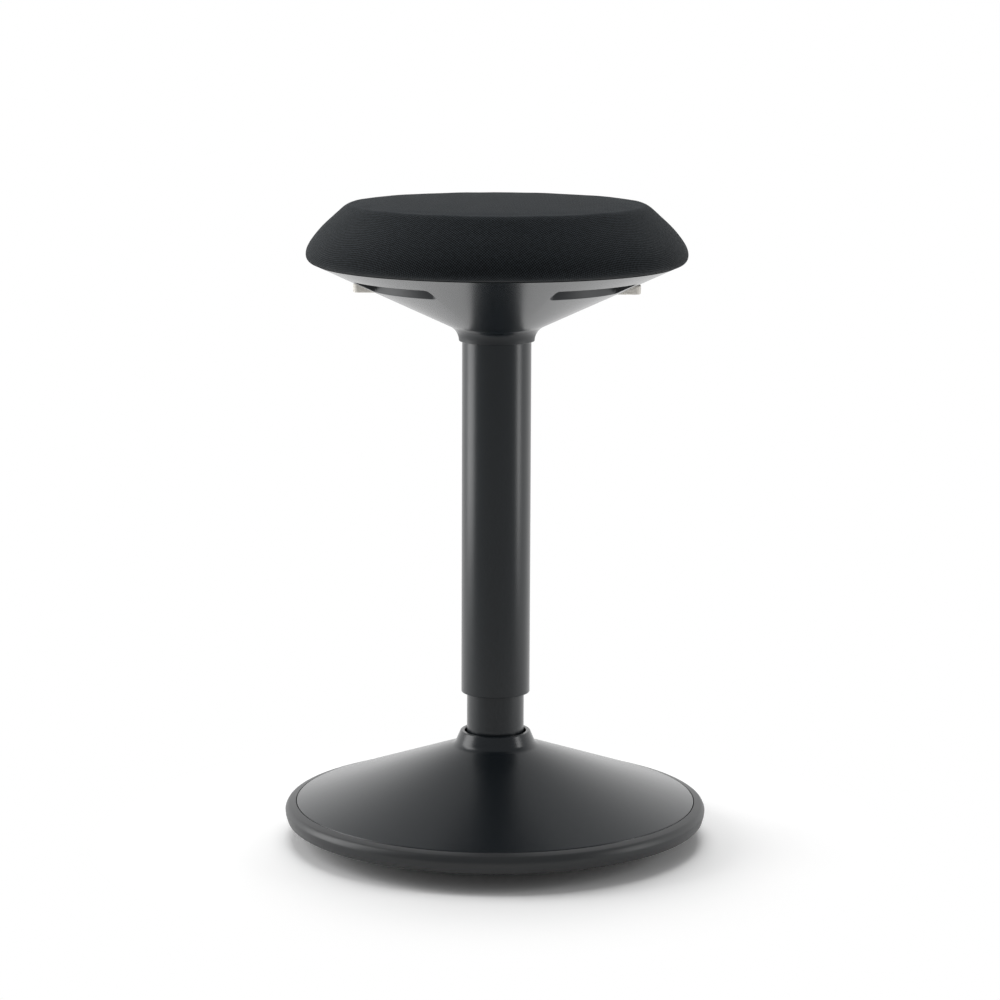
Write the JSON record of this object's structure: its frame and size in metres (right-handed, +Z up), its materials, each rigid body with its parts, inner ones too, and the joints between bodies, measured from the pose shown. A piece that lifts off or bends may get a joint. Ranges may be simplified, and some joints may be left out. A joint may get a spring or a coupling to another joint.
{
  "type": "wobble stool",
  "caption": "Round padded stool on a gas-lift column, with a heavy cone-shaped base that rocks on its domed underside and finger paddles under the seat.",
  "frame": {"origin": "on the floor under the column's axis, at the middle of the base's flat foot", "axes": "+Z up along the column; the two release paddles lie along X"},
  "size_m": [0.3704, 0.3704, 0.563],
  "materials": {
    "cover_plastic": "satin dark grey",
    "tube_paint": "satin black",
    "shell_plastic": "fine-grained dark grey",
    "ring_rubber": "smooth dark rubber",
    "pad_rubber": "matt black rubber",
    "ivory_plastic": "satin ivory",
    "weave": "fine knitted charcoal",
    "foam": "cut polyurethane foam",
    "plywood": "bare plywood",
    "cast_iron": "rough cast, painted",
    "black_steel": "black coated steel",
    "bright_steel": "ground and polished",
    "zinc_steel": "zinc plated",
    "bush_plastic": "natural acetal",
    "dark_plastic": "moulded black"
  },
  "bodies": {
    "root": {"rocker_pan": "dark_plastic", "floor_pad": "pad_rubber", "bumper_ring": "ring_rubber", "ballast_plate": "cast_iron", "column_hub": "black_steel", "base_cover": "cover_plastic", "pan_screw_1": "zinc_steel", "pan_screw_2": "zinc_steel", "pan_screw_3": "zinc_steel", "pan_screw_4": "zinc_steel", "pan_screw_5": "zinc_steel", "pan_screw_6": "zinc_steel", "hub_screw_1": "zinc_steel", "hub_screw_2": "zinc_steel", "hub_screw_3": "zinc_steel", "hub_screw_4": "zinc_steel", "column_tube": "tube_paint", "guide_bush": "bush_plastic", "bearing_race_lower": "bright_steel", "bearing_balls": "bright_steel"},
    "lift_rod": {"bearing_race_upper": "bright_steel", "rod_washer": "zinc_steel", "rod_clip": "zinc_steel", "piston_rod": "bright_steel", "rod_buffer": "pad_rubber", "piston": "bush_plastic"},
    "seat": {"gas_cylinder": "black_steel", "column_sleeve": "tube_paint", "sleeve_glide": "dark_plastic", "sleeve_carrier": "dark_plastic", "taper_socket": "black_steel", "lever_tray": "black_steel", "seat_shell": "shell_plastic", "seat_board": "plywood", "seat_foam": "foam", "seat_cover": "weave", "seat_bolt_1": "zinc_steel", "seat_bolt_2": "zinc_steel", "seat_bolt_3": "zinc_steel", "seat_bolt_4": "zinc_steel", "tee_nut_1": "zinc_steel", "tee_nut_2": "zinc_steel", "tee_nut_3": "zinc_steel", "tee_nut_4": "zinc_steel", "shell_screw_1": "zinc_steel", "shell_screw_2": "zinc_steel", "shell_screw_3": "zinc_steel", "shell_screw_4": "zinc_steel", "pivot_pin_right": "zinc_steel", "pivot_pin_left": "zinc_steel"},
    "valve_release": {"valve_button": "bright_steel", "release_spool": "bush_plastic"},
    "lever_right": {"lever_arm_right": "black_steel", "paddle_right": "ivory_plastic"},
    "lever_left": {"lever_arm_left": "black_steel", "paddle_left": "ivory_plastic"}
  },
  "joints": [
    {"name": "seat_swivel", "type": "hinge", "parent": "root", "child": "lift_rod", "pos_m": [0, 0, 0.03], "axis": [0, 0, 1], "continuous": true},
    {"name": "seat_height", "type": "slide", "parent": "lift_rod", "child": "seat", "axis": [0, 0, 1], "range_m": [0, 0.2]},
    {"name": "lever_left_tilt", "type": "hinge", "parent": "seat", "child": "lever_left", "pos_m": [-0.026, 0, 0.50127], "axis": [0, 1, 0], "range_deg": [0, 5], "stiffness_Nm_per_rad": 8, "springref_deg": -5.73},
    {"name": "lever_right_tilt", "type": "hinge", "parent": "seat", "child": "lever_right", "pos_m": [0.026, 0, 0.50127], "axis": [0, -1, 0], "range_deg": [0, 5]},
    {"name": "valve_press", "type": "slide", "parent": "seat", "child": "valve_release", "axis": [0, 0, -1], "range_m": [0, 0.00189]}
  ],
  "couplings": [
    {"joint": "lever_right_tilt", "follows": "lever_left_tilt", "ratio": 1},
    {"joint": "valve_press", "follows": "lever_left_tilt", "m_per_rad": 0.0215}
  ]
}
